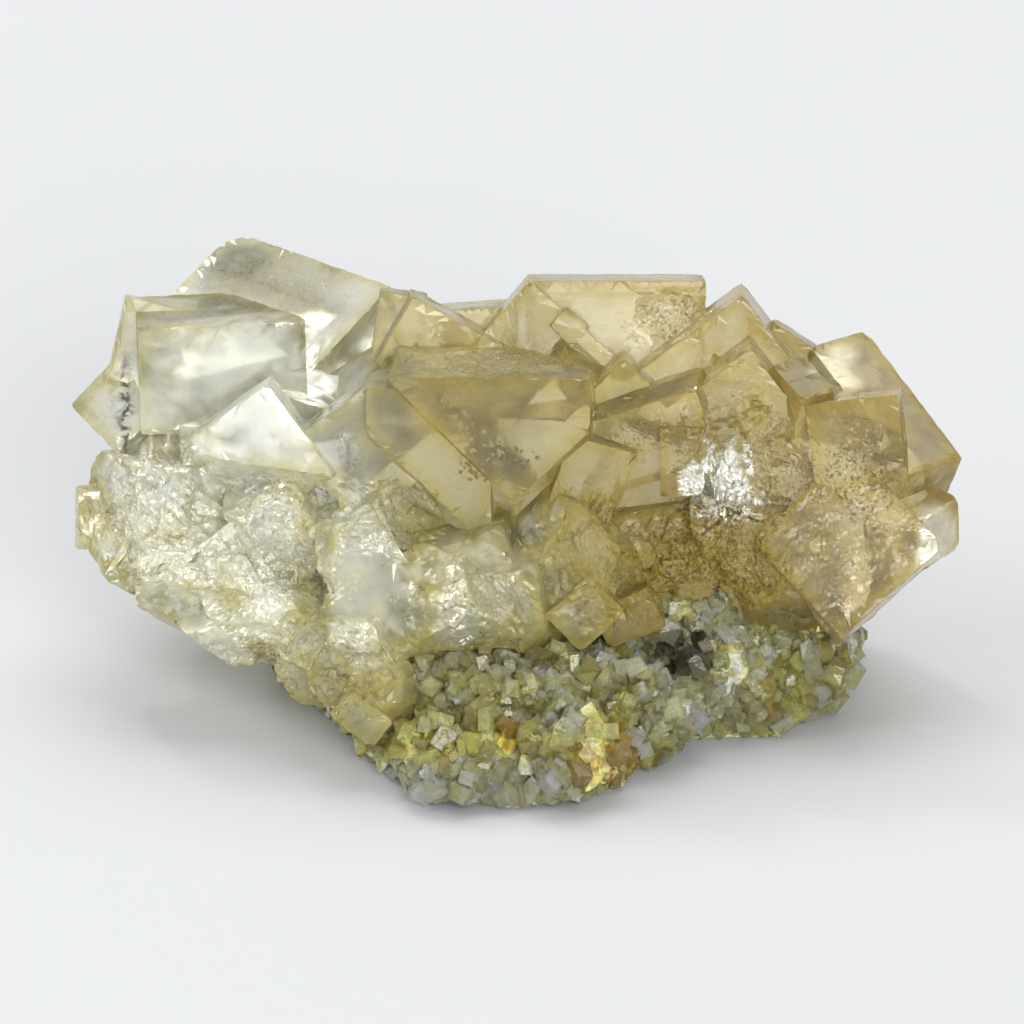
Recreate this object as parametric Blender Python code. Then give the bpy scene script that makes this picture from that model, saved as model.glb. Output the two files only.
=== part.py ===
"""Fluorite specimen: a cluster of intergrown fluorite cubes on a piece of drusy matrix.

The cubes are set out in millimetres as seen from the specimen's display side, a view that looks
DISPLAY_TILT degrees down on it. A place there is (across, up, towards the viewer) from the set-out
point, which lies on the underside. A cube's attitude is fixed by the bearings of the three edges
that leave its nearest corner, in degrees anticlockwise from "across": a cube has only one attitude
that shows its edges on three given bearings. The same is done from the back for the rear crystals.
At the end the whole specimen is moved level, to put the middle of its box over the origin.

Fluorite grows as cubes and cleaves along planes that cut a cube's corners off at equal distances,
so broken and worn crystals are cubes with cleaved corners.
"""
import math
import random
from dataclasses import dataclass, field

import bmesh
import bpy
from mathutils import Matrix, Vector
from mathutils.bvhtree import BVHTree

MM = 0.001
DISPLAY_TILT = 25.0

# The matrix: a low piece of rock in two lobes. Each has the outline of its flat underside and its
# height. Its sides draw in to LOBE_TAPER of the outline and lean back by LOBE_SET_BACK.
MAIN_LOBE = [(-26, 3), (-18, -11.5), (-10, -25), (0, -29), (11, -24.5), (19, -10), (16, 20), (-18, 20)]
MAIN_HEIGHT = 11.0
RIGHT_LOBE = [(9, -12), (30, -11), (37, -2), (39, 10), (28, 21), (6, 23)]
RIGHT_HEIGHT = 15.0
LOBE_TAPER = 0.80
LOBE_SET_BACK = 3.0
SEAM = 0.35

# The druse: small crystals all over the open sides of the matrix.
DRUSE_SEED = 11
DRUSE_TRIES = 4000
DRUSE_EDGE = (1.7, 3.0)
DRUSE_CLEARANCE = 0.3
DRUSE_SPACING = 0.52
RAY_STEP = 1e-6


@dataclass
class Crystal:
    """A cube or block with edges a, b and c, placed by one of its corners."""

    name: str
    place: tuple
    bearings: tuple
    edges: tuple
    anchor: str = ""
    cleaved: dict = field(default_factory=dict)


FRONT_CRYSTALS = [
    # Left group: pale, almost colourless cubes around one large summit crystal.
    Crystal("left_summit", (-26.3, 32.9, 7.5), (48, 160, 285), (21.6, 23.4, 15), cleaved={"ab": 2.2}),
    Crystal("left_front", (-42.3, 41.3, 13), (2.5, 100, 271), (19, 9.8, 13), cleaved={"ab": 8.3}),
    Crystal("left_side", (-43.8, 45.1, 8.5), (257, 347.4, 120), (10, 9, 6)),
    Crystal("left_corner", (-50.3, 32.9, 5), (226, 134, 0), (9, 8, 9), anchor="ab"),
    Crystal("left_cleaved", (-27.4, 35.1, 20), (215.7, 306.3, 81), (11.4, 13, 9), cleaved={"ab": 11.3}),
    Crystal("left_inner", (-16.0, 34.9, 18), (215, 306, 80), (11, 12, 8)),
    Crystal("left_lobe", (-49.2, 23.1, 8), (269, 359.5, 135), (7, 8, 8), cleaved={"a": 3}),
    # Middle group: one large amber cube with cleaved lower corners, and wedges behind it.
    Crystal("middle_wedge", (-11.2, 45.0, 11), (240, 331.5, 102), (9, 12, 6)),
    Crystal("middle_rear", (-15.0, 45.7, 7), (262, 352.5, 95), (9, 5.5, 4)),
    Crystal("middle_cube", (8.7, 35.5, 23), (179, 270.5, 75), (22.7, 19, 12),
            cleaved={"ab": 18.5, "b": 13, "c": 8}),
    Crystal("middle_step", (-16.4, 34.6, 20), (179, 270.5, 75), (14, 17, 10), anchor="a",
            cleaved={"ab": 12, "ac": 3}),
    Crystal("middle_brown", (-8.2, 43.6, 4), (274, 4.5, 120), (10, 9, 8)),
    # Right group: champagne cubes in near-parallel growth.
    Crystal("rear_block", (2.0, 47.0, 4), (269.6, 0, 110), (14, 20.2, 8)),
    Crystal("rear_step", (1.9, 46.9, 8), (229, 319.6, 95), (14, 17, 7)),
    Crystal("rear_knob", (6.2, 43.9, 9.6), (229, 319.6, 95), (3.0, 3.6, 3)),
    Crystal("rear_foot", (12.6, 37.9, 13), (225, 317, 90), (9, 9, 6)),
    Crystal("right_summit", (26.1, 45.2, 10), (216, 307.2, 85), (16.5, 15, 9)),
    Crystal("right_peeping", (30.1, 42.0, 5), (236, 328, 100), (7, 6.5, 4)),
    Crystal("right_broken", (26.8, 38.9, 17.5), (216.5, 308, 85), (13.5, 17.3, 12), cleaved={"": 2.3}),
    Crystal("right_ledge", (8.5, 30.7, 17), (197.7, 292, 70), (13, 9, 8), anchor="a"),
    Crystal("right_ledge_step", (21.5, 30.1, 19.5), (179, 270.5, 60), (5, 8, 4)),
    Crystal("right_small", (32.6, 33.4, 19), (131.5, 14, 255), (6.5, 4.8, 6)),
    Crystal("right_shoulder", (44.5, 24.9, 15), (125.7, 16.8, 250), (20.6, 7.8, 12)),
    Crystal("right_face", (43.2, 33.9, 19), (186.5, 277.5, 60), (10.5, 10, 8), cleaved={"b": 2}),
    Crystal("right_foot", (37.0, 6.6, 19), (42, 132.6, 268), (15.5, 15, 8), cleaved={"": 1.5}),
    Crystal("right_lobe", (46.2, 19.6, 15), (273, 32, 150), (7, 6, 7)),
    # Lower front: crystals broken back along their cleavage.
    Crystal("front_pale", (-15.0, 21.5, 22), (205, 298, 85), (10, 15, 10), cleaved={"a": 5, "ab": 5}),
    Crystal("front_beige", (2.6, 14.0, 22), (183, 281, 60), (17, 12, 12),
            cleaved={"ab": 6, "b": 5, "": 3}),
    Crystal("front_column", (6.7, 29.2, 20), (250, 345, 110), (14, 8, 8)),
    Crystal("front_neck", (-1.3, 18.7, 20), (196, 290, 70), (11, 8, 8), cleaved={"": 3}),
    Crystal("left_root", (-40.8, 27.1, 15), (232, 325, 95), (10, 14, 10), cleaved={"a": 4, "ab": 5}),
    Crystal("left_root_low", (-31.1, 19.8, 18), (215, 306, 85), (9, 14, 9), cleaved={"ab": 5}),
    Crystal("left_root_side", (-43.1, 18.7, 12), (240, 331, 105), (6, 9, 8), cleaved={"ab": 3}),
    Crystal("left_root_mid", (-24.9, 24.3, 18), (205, 300, 85), (9, 12, 8), cleaved={"": 3, "ab": 5}),
    Crystal("left_tongue", (-31.0, 9.8, 17), (208, 318, 80), (6, 8, 7), cleaved={"ab": 4}),
    Crystal("front_toe", (-20.3, 6.4, 23), (215, 310, 85), (6, 9, 8), cleaved={"a": 3}),
    Crystal("front_toe_block", (-17.8, 0.9, 25), (230, 322, 95), (4, 6, 5)),
    Crystal("recess_left", (8.7, 13.7, 20), (222, 314, 88), (7, 6, 7)),
    Crystal("recess_sill", (15.5, 12.2, 18), (200, 292, 75), (7, 5, 6), cleaved={"": 2}),
    Crystal("recess_wall", (24.6, 22.1, 11), (210, 303, 80), (13, 12, 8)),
]

# Broken and intergrown roots under the crystals: centre (across, up, towards) and half sizes.
FRONT_LUMPS = [
    ((-40.2, 19.8, 5), (8.0, 8.8, 9)),
    ((-33.5, 14.2, 8), (9, 8, 9)),
    ((-28.8, 9.0, 9), (9.6, 5.8, 8)),
    ((-19.0, 4.8, 14), (7.8, 6.8, 8)),
    ((-14.8, 0.1, 18), (4.6, 4.2, 6)),
    ((-9.2, 9.8, 11), (13, 9, 10)),
    ((5.5, 15.0, 10), (10, 9, 9)),
    ((16.6, 15.4, 4), (12, 8, 9)),
    ((32.0, 15.4, 8), (12, 9, 9)),
]

# Knobs of rock along the foot of the matrix: centre and half sizes, across, back and up.
ROCK_LUMPS = [
    ((-12, -16, 3), (5, 5.5, 4.5)),
    ((-6, -23, 3), (6, 5.5, 4)),
    ((6, -23, 3.5), (6, 5.5, 4.5)),
    ((14, -15, 4), (5, 5, 5)),
    ((24, -7, 5), (6, 5, 6)),
    ((32, -3, 5), (5.5, 6, 6)),
]
LUMP_FLATS = 22
LUMP_FLAT_DEPTH = (0.84, 1.0)

BACK_CRYSTALS = [
    # The same growth on the side away from the viewer, set out as seen from behind.
    Crystal("back_a", (-36, 27, 25), (226, 317, 93), (12, 13, 9)),
    Crystal("back_b", (-23, 31, 27), (206, 297, 75), (14, 12, 6)),
    Crystal("back_c", (-6, 32, 27), (218, 310, 84), (13, 12, 6)),
    Crystal("back_d", (11, 32, 29), (232, 324, 98), (15, 14, 6)),
    Crystal("back_e", (27, 28, 27), (196, 288, 62), (12, 15, 7), cleaved={"": 3}),
    Crystal("back_f", (39, 24, 22), (230, 321, 95), (10, 12, 6)),
    Crystal("back_g", (-31, 16, 28), (239, 330, 104), (13, 14, 11), cleaved={"": 3}),
    Crystal("back_h", (-13, 18, 32), (208, 300, 78), (14, 13, 11)),
    Crystal("back_i", (7, 17, 34), (226, 318, 92), (15, 14, 12), cleaved={"": 4}),
    Crystal("back_j", (25, 15, 31), (214, 306, 84), (13, 14, 12)),
    Crystal("back_k", (-22, 6, 29), (220, 312, 86), (9, 10, 8)),
    Crystal("back_l", (-3, 8, 30), (241, 332, 106), (10, 9, 8), cleaved={"": 2}),
    Crystal("back_m", (16, 6, 31), (204, 296, 74), (10, 10, 8)),
    Crystal("back_n", (35, 11, 24), (229, 321, 95), (9, 11, 8)),
]

# Solid roots that the crystals grew from: centre, size and turn about the vertical.
ROOTS = [
    ((-20, 9, 20), (36, 16, 22), 4),
    ((20, 9, 21), (42, 16, 24), -5),
]


def clear_scene():
    for old in list(bpy.data.objects):
        bpy.data.objects.remove(old, do_unlink=True)


def make_collection(name):
    collection = bpy.data.collections.new(name)
    bpy.context.scene.collection.children.link(collection)
    return collection


def make_material(name, colour, roughness):
    material = bpy.data.materials.new(name)
    material.use_nodes = True
    shader = material.node_tree.nodes["Principled BSDF"]
    shader.inputs["Base Color"].default_value = (*colour, 1.0)
    shader.inputs["Roughness"].default_value = roughness
    shader.inputs["Metallic"].default_value = 0.0
    return material


def display_turn(side):
    """Turn from (across, up, towards) to the world, seen from the front (0) or the back (180)."""
    tilt = math.radians(DISPLAY_TILT)
    across = Vector((1, 0, 0))
    up = Vector((0, math.sin(tilt), math.cos(tilt)))
    towards = Vector((0, -math.cos(tilt), math.sin(tilt)))
    view = Matrix((across, up, towards)).transposed()
    return Matrix.Rotation(math.radians(side), 3, "Z") @ view


def edge_directions(bearings):
    """Unit vectors of a cube's edges a, b and c that leave the near corner on these bearings."""
    angles = [math.radians(bearing) for bearing in bearings]
    directions = []
    for this in range(3):
        left = angles[(this + 1) % 3]
        right = angles[(this + 2) % 3]
        slope_squared = -(math.cos(angles[this] - left) * math.cos(angles[this] - right)
                          / math.cos(left - right))
        lean = math.atan(math.sqrt(slope_squared))
        flat = math.cos(lean)
        directions.append(Vector((math.cos(angles[this]) * flat,
                                  math.sin(angles[this]) * flat,
                                  -math.sin(lean))))
    return directions


def corner_offset(edges, corner):
    """From the near corner to the corner that is reached along the named edges."""
    offset = Vector((0, 0, 0))
    for letter, edge in zip("abc", edges):
        if letter in corner:
            offset += edge
    return offset


def outward(directions, corner):
    """Direction that a cleavage face at this corner looks in."""
    total = Vector((0, 0, 0))
    for letter, direction in zip("abc", directions):
        total += direction if letter in corner else -direction
    return total.normalized()


def cut_flat(body, point, normal):
    """Cut away what lies beyond a plane, and close the cut."""
    geometry = body.verts[:] + body.edges[:] + body.faces[:]
    cut = bmesh.ops.bisect_plane(body, geom=geometry, dist=1e-7, plane_co=point, plane_no=normal,
                                 clear_outer=True)
    rim = [item for item in cut["geom_cut"] if isinstance(item, bmesh.types.BMEdge)]
    if rim:
        bmesh.ops.edgeloop_fill(body, edges=rim)


def crystal_body(crystal, side):
    """The crystal as a closed body in the world, in metres."""
    turn = display_turn(side)
    directions = [turn @ direction for direction in edge_directions(crystal.bearings)]
    edges = [direction * (length * MM) for direction, length in zip(directions, crystal.edges)]
    near = turn @ Vector(crystal.place) * MM - corner_offset(edges, crystal.anchor)
    body = bmesh.new()
    bmesh.ops.create_cube(body, size=1.0, matrix=Matrix.Translation((0.5, 0.5, 0.5)))
    shape = Matrix(edges).transposed().to_4x4()
    bmesh.ops.transform(body, matrix=Matrix.Translation(near) @ shape, verts=body.verts)
    for corner, reach in crystal.cleaved.items():
        normal = outward(directions, corner)
        tip = near + corner_offset(edges, corner)
        cut_flat(body, tip - normal * (reach * MM / math.sqrt(3)), normal)
    bmesh.ops.recalc_face_normals(body, faces=body.faces)
    return body


def block_body(centre, size, turn_degrees):
    """A plain block in the world, in metres."""
    body = bmesh.new()
    place = Matrix.Translation(Vector(centre) * MM)
    turn = Matrix.Rotation(math.radians(turn_degrees), 4, "Z")
    scale = Matrix.Diagonal((*(Vector(size) * MM), 1.0))
    bmesh.ops.create_cube(body, size=1.0, matrix=place @ turn @ scale)
    return body


def lump_body(place, turn, half_sizes, seed):
    """A broken lump: a block with flats struck off it all round, down to about an ellipsoid."""
    rng = random.Random(seed)
    body = bmesh.new()
    bmesh.ops.create_cube(body, size=2.0)
    for _ in range(LUMP_FLATS):
        normal = Vector([rng.gauss(0, 1) for _ in range(3)]).normalized()
        cut_flat(body, normal * rng.uniform(*LUMP_FLAT_DEPTH), normal)
    scale = Matrix.Diagonal((*(Vector(half_sizes) * MM), 1.0))
    matrix = Matrix.Translation(place) @ turn.to_4x4() @ scale
    bmesh.ops.transform(body, matrix=matrix, verts=body.verts)
    bmesh.ops.recalc_face_normals(body, faces=body.faces)
    return body


def lobe_body(outline, height, grow=0.0):
    """A lobe of the rock: its outline at the floor, drawn in and set back at the top."""
    middle = sum((Vector(point) for point in outline), Vector((0, 0))) / len(outline)
    body = bmesh.new()
    for point in outline:
        spoke = Vector(point) - middle
        reach = spoke.length
        foot = middle + spoke * ((reach + grow) / reach)
        top = middle + spoke * ((reach * LOBE_TAPER + grow) / reach) + Vector((0, LOBE_SET_BACK))
        body.verts.new((foot.x * MM, foot.y * MM, 0.0))
        body.verts.new((top.x * MM, top.y * MM, (height + grow) * MM))
    bmesh.ops.convex_hull(body, input=body.verts)
    bmesh.ops.recalc_face_normals(body, faces=body.faces)
    return body


def rock_lump(number, grow=0.0):
    centre, half_sizes = ROCK_LUMPS[number]
    grown_sizes = [half + grow for half in half_sizes]
    body = lump_body(Vector(centre) * MM, Matrix.Identity(3), grown_sizes, number)
    cut_flat(body, Vector((0, 0, 0)), Vector((0, 0, -1)))
    return body


def add_object(name, body, collection, material=None):
    mesh = bpy.data.meshes.new(name)
    body.to_mesh(mesh)
    body.free()
    item = bpy.data.objects.new(name, mesh)
    collection.objects.link(item)
    if material:
        mesh.materials.append(material)
    return item


def add_guide(name, body, collection):
    guide = add_object(name, body, collection)
    guide.hide_render = True
    guide.display_type = "WIRE"
    return guide


def keep_outer_body(item):
    """Settle the modifiers, and drop the small voids that are closed in between the pieces."""
    bpy.context.view_layer.update()
    graph = bpy.context.evaluated_depsgraph_get()
    settled = bpy.data.meshes.new_from_object(item.evaluated_get(graph))
    body = bmesh.new()
    body.from_mesh(settled)
    left = set(body.faces)
    shells = []
    while left:
        shell = {left.pop()}
        edge_of_shell = list(shell)
        while edge_of_shell:
            face = edge_of_shell.pop()
            beside = {other for edge in face.edges for other in edge.link_faces} & left
            left -= beside
            shell |= beside
            edge_of_shell += beside
        shells.append(shell)
    outer = max(shells, key=len)
    inner = [face for shell in shells if shell is not outer for face in shell]
    bmesh.ops.delete(body, geom=inner, context="FACES")
    body.to_mesh(settled)
    body.free()
    item.modifiers.clear()
    item.data = settled


def combine(item, operation, collection):
    """Join or cut the item with every body of a collection."""
    step = item.modifiers.new(operation.lower(), "BOOLEAN")
    step.operation = operation
    step.solver = "EXACT"
    step.operand_type = "COLLECTION"
    step.collection = collection


def build_fluorite(parts, material):
    growth = make_collection("fluorite_growth")
    seat = make_collection("matrix_seat")
    for crystal in FRONT_CRYSTALS:
        add_guide(crystal.name, crystal_body(crystal, 0), growth)
    for crystal in BACK_CRYSTALS:
        add_guide(crystal.name, crystal_body(crystal, 180), growth)
    for number, root in enumerate(ROOTS[1:]):
        add_guide(f"root_{number}", block_body(*root), growth)
    for number, (centre, half_sizes) in enumerate(FRONT_LUMPS):
        turn = display_turn(0)
        lump = lump_body(turn @ Vector(centre) * MM, turn, half_sizes, number)
        add_guide(f"root_lump_{number}", lump, growth)
    add_guide("main_seat", lobe_body(MAIN_LOBE, MAIN_HEIGHT, SEAM), seat)
    add_guide("right_seat", lobe_body(RIGHT_LOBE, RIGHT_HEIGHT, SEAM), seat)
    for number in range(len(ROCK_LUMPS)):
        add_guide(f"knob_seat_{number}", rock_lump(number, SEAM), seat)
    fluorite = add_object("fluorite_crystals", block_body(*ROOTS[0]), parts, material)
    combine(fluorite, "UNION", growth)
    combine(fluorite, "DIFFERENCE", seat)
    keep_outer_body(fluorite)
    return fluorite


def druse_body(place, edge, turn):
    body = bmesh.new()
    matrix = Matrix.Translation(place) @ turn @ Matrix.Scale(edge, 4)
    bmesh.ops.create_cube(body, size=1.0, matrix=matrix)
    return body


def point_on(faces, areas, rng):
    """A random point on these faces."""
    face = rng.choices(faces, areas)[0]
    weights = [rng.random() + 0.001 for _ in face.verts]
    place = sum((vert.co * weight for vert, weight in zip(face.verts, weights)), Vector())
    return place / sum(weights)


def clear_of(barrier, body, place):
    """Whether a small body stays outside the barrier: a line up from it leaves as often as it enters."""
    up = Vector((0, 0, 1))
    crossings = 0
    hit = barrier.ray_cast(place, up)[0]
    while hit:
        crossings += 1
        hit = barrier.ray_cast(hit + up * RAY_STEP, up)[0]
    return crossings % 2 == 0 and not BVHTree.FromBMesh(body).overlap(barrier)


def add_druse(rocks, barrier, druse):
    """Small cubes wherever the rock is open and there is room beside the fluorite."""
    rng = random.Random(DRUSE_SEED)
    faces = [face for rock in rocks for face in rock.faces if face.normal.z > -0.9]
    areas = [face.calc_area() for face in faces]
    grown = []
    for _ in range(DRUSE_TRIES):
        place = point_on(faces, areas, rng)
        edge = rng.uniform(*DRUSE_EDGE) * MM
        axis = Vector([rng.gauss(0, 1) for _ in range(3)])
        turn = Matrix.Rotation(rng.uniform(0, math.tau), 4, axis)
        if place.z < edge * math.sqrt(3) / 2:
            continue
        if any((place - other).length < DRUSE_SPACING * (edge + size) for other, size in grown):
            continue
        grown_copy = druse_body(place, edge + 2 * DRUSE_CLEARANCE * MM, turn)
        if clear_of(barrier, grown_copy, place):
            add_guide(f"druse_{len(grown)}", druse_body(place, edge, turn), druse)
            grown.append((place, edge))
        grown_copy.free()


def build_matrix(parts, material, fluorite):
    druse = make_collection("druse")
    rocks = [lobe_body(MAIN_LOBE, MAIN_HEIGHT), lobe_body(RIGHT_LOBE, RIGHT_HEIGHT)]
    rocks += [rock_lump(number) for number in range(len(ROCK_LUMPS))]
    bpy.context.view_layer.update()
    barrier = BVHTree.FromObject(fluorite, bpy.context.evaluated_depsgraph_get())
    add_druse(rocks, barrier, druse)
    matrix = add_object("drusy_matrix", rocks[0], parts, material)
    for number, rock in enumerate(rocks[1:]):
        add_guide(f"rock_{number}", rock, druse)
    combine(matrix, "UNION", druse)
    keep_outer_body(matrix)
    return matrix


def centre_on_origin(items):
    """Move the specimen level, so that the middle of its box is over the origin."""
    bpy.context.view_layer.update()
    graph = bpy.context.evaluated_depsgraph_get()
    corners = []
    for item in items:
        corners += [Vector(corner) for corner in item.evaluated_get(graph).bound_box]
    for axis in (0, 1):
        values = [corner[axis] for corner in corners]
        middle = (min(values) + max(values)) / 2
        for item in items:
            item.location[axis] = -middle


def main():
    clear_scene()
    parts = make_collection("fluorite_specimen")
    fluorite_finish = make_material("fluorite", (0.78, 0.74, 0.55), 0.08)
    matrix_finish = make_material("drusy_rock", (0.42, 0.44, 0.33), 0.55)
    fluorite = build_fluorite(parts, fluorite_finish)
    matrix = build_matrix(parts, matrix_finish, fluorite)
    centre_on_origin([fluorite, matrix])


main()
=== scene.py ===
"""Looks of a fluorite specimen: intergrown cubes, clear to honey, on a low drusy matrix."""
import math
import random

import bmesh
import bpy
import numpy as np
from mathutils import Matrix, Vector
from mathutils.bvhtree import BVHTree
from mathutils.kdtree import KDTree


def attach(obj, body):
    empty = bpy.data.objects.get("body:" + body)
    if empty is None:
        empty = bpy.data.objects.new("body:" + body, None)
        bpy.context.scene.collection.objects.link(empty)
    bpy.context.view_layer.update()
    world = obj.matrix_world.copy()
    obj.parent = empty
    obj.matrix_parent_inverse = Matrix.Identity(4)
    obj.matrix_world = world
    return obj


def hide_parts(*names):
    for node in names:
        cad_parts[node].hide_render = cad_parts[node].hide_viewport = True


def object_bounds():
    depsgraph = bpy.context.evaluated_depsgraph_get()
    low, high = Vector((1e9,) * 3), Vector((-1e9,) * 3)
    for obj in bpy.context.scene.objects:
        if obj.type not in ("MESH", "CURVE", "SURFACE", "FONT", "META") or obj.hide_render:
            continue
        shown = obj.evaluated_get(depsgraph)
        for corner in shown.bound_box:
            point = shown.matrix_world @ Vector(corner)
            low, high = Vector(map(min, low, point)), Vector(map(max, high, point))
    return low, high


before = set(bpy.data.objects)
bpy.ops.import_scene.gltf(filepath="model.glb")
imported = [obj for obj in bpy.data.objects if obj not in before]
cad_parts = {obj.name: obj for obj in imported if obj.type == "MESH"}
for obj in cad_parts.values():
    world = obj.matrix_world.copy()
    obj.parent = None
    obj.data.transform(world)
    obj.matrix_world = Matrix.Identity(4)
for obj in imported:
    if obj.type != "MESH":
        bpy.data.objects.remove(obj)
cad_low, cad_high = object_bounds()

# ---- Display side ---------------------------------------------------------------------------
# The specimen is shown from its front, seen slightly from above. Places on it are given below as
# seen from there: millimetres across, up and towards the viewer from the set-out point, which
# lies on the underside a little in front of the middle.
MM = 0.001
DISPLAY_TILT = math.radians(25)
SET_OUT_POINT = Vector((-0.32, -5.78, 0.0)) * MM
ACROSS = Vector((1, 0, 0))
UP = Vector((0, math.sin(DISPLAY_TILT), math.cos(DISPLAY_TILT)))
TOWARDS = Vector((0, -math.cos(DISPLAY_TILT), math.sin(DISPLAY_TILT)))


def display_point(across, up, towards):
    """A place given as seen from the front, in the scene's metres."""
    return SET_OUT_POINT + (ACROSS * across + UP * up + TOWARDS * towards) * MM


LENS = 300.0
SENSOR_WIDTH = 36.0
FARTHEST_SEEN = 10.0
VIEW_WIDTH = 114.7
VIEW_CENTRE = (0, 20.72, 20)
camera_data = bpy.data.cameras.new("display_camera")
camera_data.lens = LENS
camera_data.sensor_width = SENSOR_WIDTH
camera_data.clip_end = FARTHEST_SEEN
camera = bpy.data.objects.new("display_camera", camera_data)
distance = VIEW_WIDTH * LENS / SENSOR_WIDTH * MM
camera.location = display_point(*VIEW_CENTRE) + TOWARDS * distance
camera.rotation_euler = (math.pi / 2 - DISPLAY_TILT, 0, 0)
bpy.context.scene.collection.objects.link(camera)
bpy.context.scene.camera = camera

# ---- Table and light ------------------------------------------------------------------------
# A plain pale table top in an even pale room. A broad soft light stands high behind the piece, one
# to its left, one low in front, and a small one gives the bright glints.


class Wire:
    """One socket of a material's node; arithmetic on it adds Math nodes."""

    def __init__(self, finish, socket):
        self.finish = finish
        self.socket = socket

    def math(self, operation, *others):
        values = dict(enumerate((self, *others)))
        return self.finish.node("ShaderNodeMath", {"operation": operation}, values)

    def also(self, output):
        """Another output of the same node."""
        return Wire(self.finish, self.socket.node.outputs[output])

    def __add__(self, other):
        return self.math("ADD", other)

    def __sub__(self, other):
        return self.math("SUBTRACT", other)

    def __mul__(self, other):
        return self.math("MULTIPLY", other)

    def __radd__(self, other):
        return self + other

    def __rsub__(self, other):
        return self.finish.node("ShaderNodeMath", {"operation": "SUBTRACT"}, {0: other, 1: self})

    def __rmul__(self, other):
        return self * other

    def between(self, low, high):
        """0 at low, 1 at high, smooth between."""
        settings = {"interpolation_type": "SMOOTHSTEP"}
        return self.finish.node("ShaderNodeMapRange", settings, {0: self, 1: low, 2: high})


class Finish:
    """A material made of nodes."""

    def __init__(self, name):
        self.material = bpy.data.materials.new(name)
        self.material.use_nodes = True
        self.tree = self.material.node_tree
        self.tree.nodes.clear()

    def node(self, kind, settings=None, values=None, output=0):
        """Add a node: its settings first, then its sockets' values or links."""
        node = self.tree.nodes.new(kind)
        for key, value in (settings or {}).items():
            setattr(node, key, value)
        for key, value in (values or {}).items():
            socket = node.inputs[key]
            if isinstance(value, Wire):
                self.tree.links.new(value.socket, socket)
            elif socket.type == "RGBA":
                socket.default_value = (*value[:3], 1)
            else:
                socket.default_value = value
        return Wire(self, node.outputs[output])

    def colour_mix(self, factor, first, second, blend="MIX"):
        """The first colour where the factor is 0, blended with the second where it is 1."""
        settings = {"data_type": "RGBA", "blend_type": blend}
        return self.node("ShaderNodeMix", settings, {0: factor, 6: first, 7: second}, output=2)

    def noise(self, place, scale, detail=3.0, roughness=0.55, distortion=0.0):
        """Noise of about 1/scale millimetres, from 0 to 1."""
        values = {"Vector": place, "Scale": scale, "Detail": detail,
                  "Roughness": roughness, "Distortion": distortion}
        return self.node("ShaderNodeTexNoise", None, values)

    def place(self):
        """Where a point of the piece is, in millimetres."""
        metres = self.node("ShaderNodeTexCoord", output="Object")
        return self.node("ShaderNodeVectorMath", {"operation": "SCALE"}, {0: metres, "Scale": 1 / MM})

    def mark(self, name):
        """Numbers that the piece's points carry under this name."""
        return self.node("ShaderNodeAttribute", {"attribute_name": name}, output="Color")

    def surface(self, shader, volume=None):
        """The finished material."""
        out = self.tree.nodes.new("ShaderNodeOutputMaterial")
        self.tree.links.new(shader.socket, out.inputs["Surface"])
        if volume:
            self.tree.links.new(volume.socket, out.inputs["Volume"])
        return self.material


TABLE_SIZE = 6.0
TABLE_GAP = 0.2
TABLE_COLOUR = (0.62, 0.63, 0.64, 1)
table_finish = Finish("table_top")
table_shader = table_finish.node("ShaderNodeBsdfPrincipled", None, {
    "Base Color": TABLE_COLOUR, "Roughness": 0.9, "Specular IOR Level": 0.1})
table_mesh = bpy.data.meshes.new("table_top")
table_body = bmesh.new()
bmesh.ops.create_grid(table_body, x_segments=1, y_segments=1, size=TABLE_SIZE / 2)
table_body.to_mesh(table_mesh)
table_body.free()
table_mesh.materials.append(table_finish.surface(table_shader))
table = bpy.data.objects.new("table_top", table_mesh)
table.location = (0, 0, cad_low.z - TABLE_GAP * MM)
bpy.context.scene.collection.objects.link(table)


def add_softbox(name, aim_height, bearing, height, reach, size, level):
    """A square light at this bearing and height angle (degrees) and reach (m) from its aim.

    The aim is a point above the middle of the underside.
    """
    light = bpy.data.lights.new(name, "AREA")
    light.shape = "SQUARE"
    light.size = size
    light.energy = level * math.pi * size ** 2
    lamp = bpy.data.objects.new(name, light)
    turn = math.radians(bearing)
    rise = math.radians(height)
    way = Vector((math.cos(turn) * math.cos(rise), math.sin(turn) * math.cos(rise), math.sin(rise)))
    lamp.location = Vector((0, 0, aim_height)) + way * reach
    lamp.rotation_euler = way.to_track_quat("Z", "Y").to_euler()
    bpy.context.scene.collection.objects.link(lamp)


render = bpy.context.scene.cycles
render.max_bounces = 8
render.transmission_bounces = 8
render.glossy_bounces = 3
render.diffuse_bounces = 2
render.use_light_tree = False
add_softbox("top_light", aim_height=0.03, bearing=80, height=66, reach=2.0,
            size=1.6, level=2.8)
add_softbox("left_light", aim_height=0.03, bearing=190, height=35, reach=2.0,
            size=1.2, level=3.0)
add_softbox("spark_light", aim_height=0.03, bearing=125, height=48, reach=1.8,
            size=0.22, level=26.0)
add_softbox("front_light", aim_height=0.02, bearing=285, height=24, reach=2.2,
            size=1.0, level=9.4)

ROOM_LEVEL = 0.45
ROOM_COLOUR = (0.98, 0.99, 1.0, 1)
world = bpy.data.worlds.new("pale_room")
world.use_nodes = True
world.node_tree.nodes["Background"].inputs["Color"].default_value = ROOM_COLOUR
world.node_tree.nodes["Background"].inputs["Strength"].default_value = ROOM_LEVEL
bpy.context.scene.world = world
bpy.context.scene.view_settings.view_transform = "Standard"

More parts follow.
